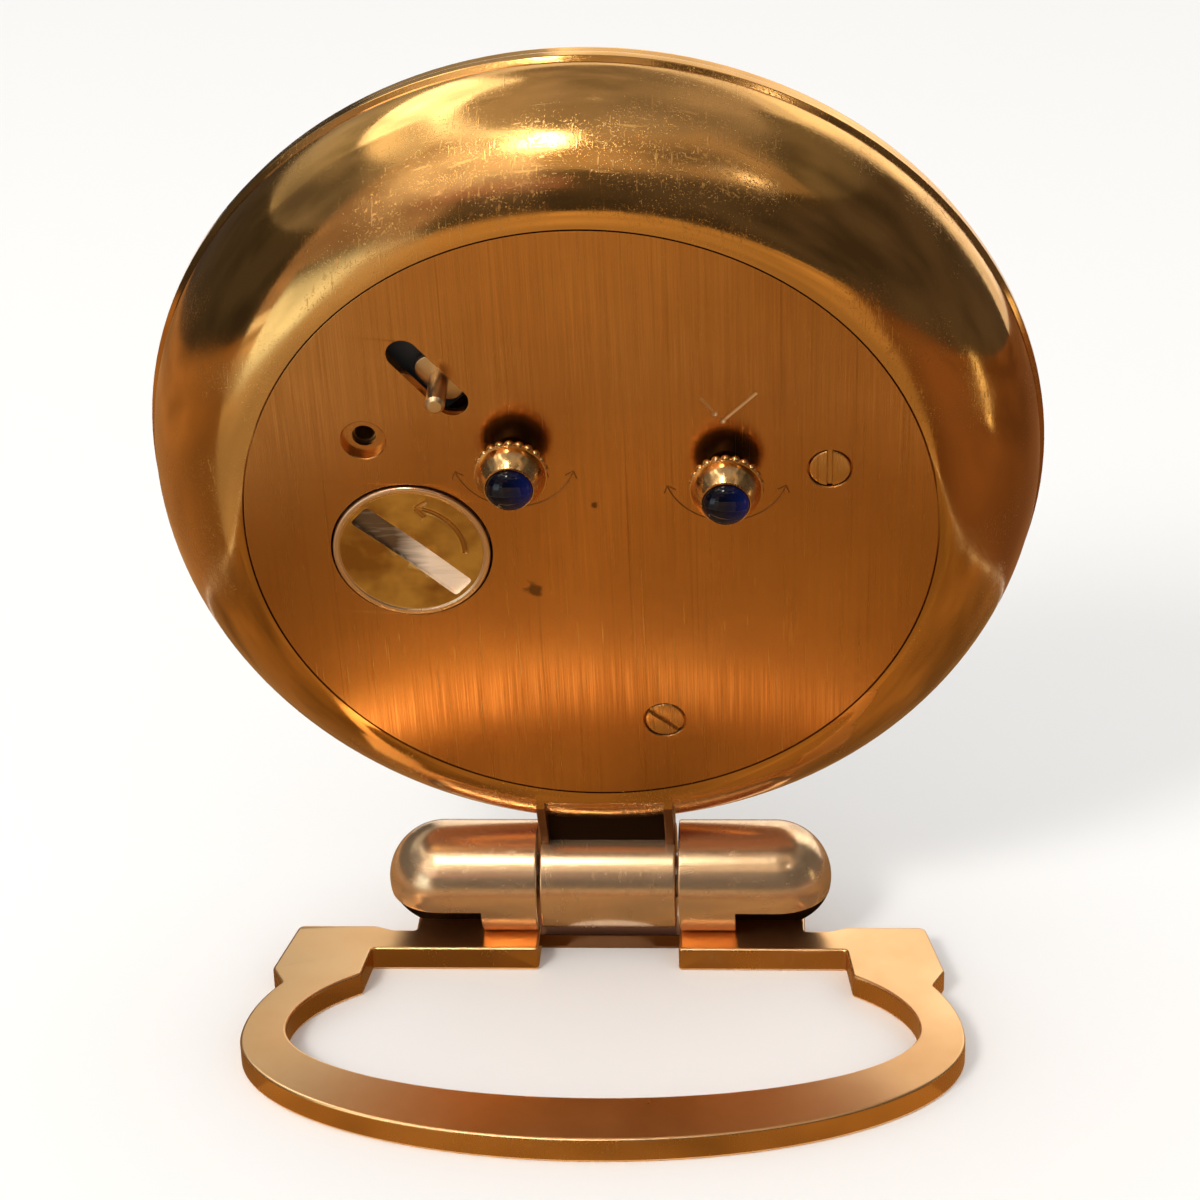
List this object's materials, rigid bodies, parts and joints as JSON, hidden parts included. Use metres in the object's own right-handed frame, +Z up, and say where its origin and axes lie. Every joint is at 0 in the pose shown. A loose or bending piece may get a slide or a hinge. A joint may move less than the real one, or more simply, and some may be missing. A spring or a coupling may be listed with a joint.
{
  "type": "folding alarm clock",
  "caption": "Round gold alarm clock hinged to a flat D-shaped loop stand that folds under its back, with two knobs, a slider and a battery cover on the back plate.",
  "frame": {"origin": "on the surface that the stand rests on, straight below the middle of the hinge axis", "axes": "+Z up, the dial looks to -Y and leans back, the knobs look to +Y, the hinge axis runs along X"},
  "size_m": [0.085, 0.0489, 0.0968],
  "materials": {
    "gold_polished": "polished gold plate",
    "gold_brushed": "fine vertical brushing, gold plate",
    "gold_satin": "satin gold plate",
    "screw_gold": "turned, gold plate",
    "steel": "plain",
    "movement_brass": "stamped",
    "blue_stone": "polished deep blue",
    "crystal": "clear mineral glass",
    "dial_cream": "matt cream",
    "hand_enamel": "black enamel",
    "white_plastic": "moulded",
    "black_plastic": "moulded",
    "rubber": "plain",
    "copper_wire": "enamelled wire",
    "board_green": "solder mask"
  },
  "bodies": {
    "stand": {"stand_frame": "gold_satin", "hinge_barrel_left": "gold_polished", "hinge_barrel_right": "gold_polished", "hinge_pin": "steel", "spring_washer_left": "steel", "spring_washer_right": "steel"},
    "case": {"case_shell": "gold_polished", "bezel": "gold_polished", "crystal": "crystal", "crystal_gasket": "rubber", "rehaut": "gold_brushed", "dial": "dial_cream", "back_plate": "gold_brushed", "back_screw_1": "screw_gold", "back_screw_2": "screw_gold", "pillar_1": "movement_brass", "pillar_2": "movement_brass", "pillar_3": "movement_brass", "movement_holder": "white_plastic", "movement_plate": "movement_brass", "train_bridge": "movement_brass", "stator": "steel", "coil": "copper_wire", "circuit_board": "board_green", "chip": "black_plastic", "quartz_can": "steel", "buzzer": "black_plastic", "switch_block": "black_plastic", "battery_housing": "white_plastic", "button_cell": "steel", "contact_minus": "steel", "contact_plus": "steel"},
    "time_setting": {"time_knob": "gold_polished", "time_knob_stone": "blue_stone", "time_stem": "steel", "setting_pinion": "steel"},
    "minute_work": {"minute_wheel": "movement_brass"},
    "minute_group": {"minute_hand": "hand_enamel", "cannon_pinion": "movement_brass"},
    "hour_group": {"hour_hand": "hand_enamel", "hour_wheel": "movement_brass"},
    "alarm_setting": {"alarm_knob": "gold_polished", "alarm_knob_stone": "blue_stone", "alarm_stem": "steel", "alarm_pinion": "steel"},
    "alarm_group": {"alarm_hand": "hand_enamel", "alarm_wheel": "movement_brass"},
    "slider": {"alarm_slider": "gold_polished"},
    "cover_lift": {"cover_seal": "rubber"},
    "cover": {"battery_cover": "gold_brushed"},
    "rotor_body": {"rotor": "steel"},
    "train_a": {"train_wheel_a": "movement_brass"},
    "train_b": {"train_wheel_b": "movement_brass"},
    "centre": {"centre_wheel": "movement_brass"}
  },
  "joints": [
    {"name": "case_fold", "type": "hinge", "parent": "stand", "child": "case", "pos_m": [0, 0, 0.00766], "axis": [-1, 0, 0], "range_deg": [0, 78]},
    {"name": "time_knob_turn", "type": "hinge", "parent": "case", "child": "time_setting", "pos_m": [-0.0127, 0.01114, 0.06007], "axis": [0, 0.9781, -0.2079], "continuous": true},
    {"name": "minute_wheel_turn", "type": "hinge", "parent": "case", "child": "minute_work", "pos_m": [-0.0069, 0.01013, 0.05532], "axis": [0, 0.9781, -0.2079], "continuous": true},
    {"name": "minute_hand_turn", "type": "hinge", "parent": "case", "child": "minute_group", "pos_m": [0, 0.00971, 0.05332], "axis": [0, 0.9781, -0.2079], "continuous": true},
    {"name": "hour_hand_turn", "type": "hinge", "parent": "case", "child": "hour_group", "pos_m": [0, 0.00971, 0.05332], "axis": [0, 0.9781, -0.2079], "continuous": true},
    {"name": "alarm_knob_turn", "type": "hinge", "parent": "case", "child": "alarm_setting", "pos_m": [0.00664, 0.01149, 0.06173], "axis": [0, 0.9781, -0.2079], "continuous": true},
    {"name": "alarm_hand_turn", "type": "hinge", "parent": "case", "child": "alarm_group", "pos_m": [0, 0.00971, 0.05332], "axis": [0, 0.9781, -0.2079], "continuous": true},
    {"name": "rotor_turn", "type": "hinge", "parent": "case", "child": "rotor_body", "pos_m": [-0.00163, 0.00696, 0.04038], "axis": [0, 0.9781, -0.2079], "continuous": true},
    {"name": "train_a_turn", "type": "hinge", "parent": "case", "child": "train_a", "pos_m": [0.00035, 0.00767, 0.04374], "axis": [0, 0.9781, -0.2079], "continuous": true},
    {"name": "train_b_turn", "type": "hinge", "parent": "case", "child": "train_b", "pos_m": [-0.00205, 0.00853, 0.04781], "axis": [0, 0.9781, -0.2079], "continuous": true},
    {"name": "centre_wheel_turn", "type": "hinge", "parent": "case", "child": "centre", "pos_m": [0, 0.00971, 0.05332], "axis": [0, 0.9781, -0.2079], "continuous": true},
    {"name": "alarm_slide", "type": "slide", "parent": "case", "child": "slider", "axis": [-0.6312, -0.1613, -0.7586], "range_m": [-0.0049, 0.0022]},
    {"name": "cover_lift_slide", "type": "slide", "parent": "case", "child": "cover_lift", "axis": [0, 0.9781, -0.2079], "range_m": [0, 0.012]},
    {"name": "cover_turn", "type": "hinge", "parent": "cover_lift", "child": "cover", "pos_m": [0.0167, 0.00926, 0.05122], "axis": [0, 0.9781, -0.2079], "range_deg": [0, 90]}
  ],
  "couplings": [
    {"joint": "minute_wheel_turn", "follows": "time_knob_turn", "ratio": -0.4},
    {"joint": "minute_hand_turn", "follows": "time_knob_turn", "ratio": 1.2},
    {"joint": "hour_hand_turn", "follows": "time_knob_turn", "ratio": 0.1},
    {"joint": "alarm_hand_turn", "follows": "alarm_knob_turn", "ratio": -0.25},
    {"joint": "train_a_turn", "follows": "rotor_turn", "ratio": -0.22222},
    {"joint": "train_b_turn", "follows": "rotor_turn", "ratio": 0.044444},
    {"joint": "centre_wheel_turn", "follows": "rotor_turn", "ratio": -0.011111}
  ]
}
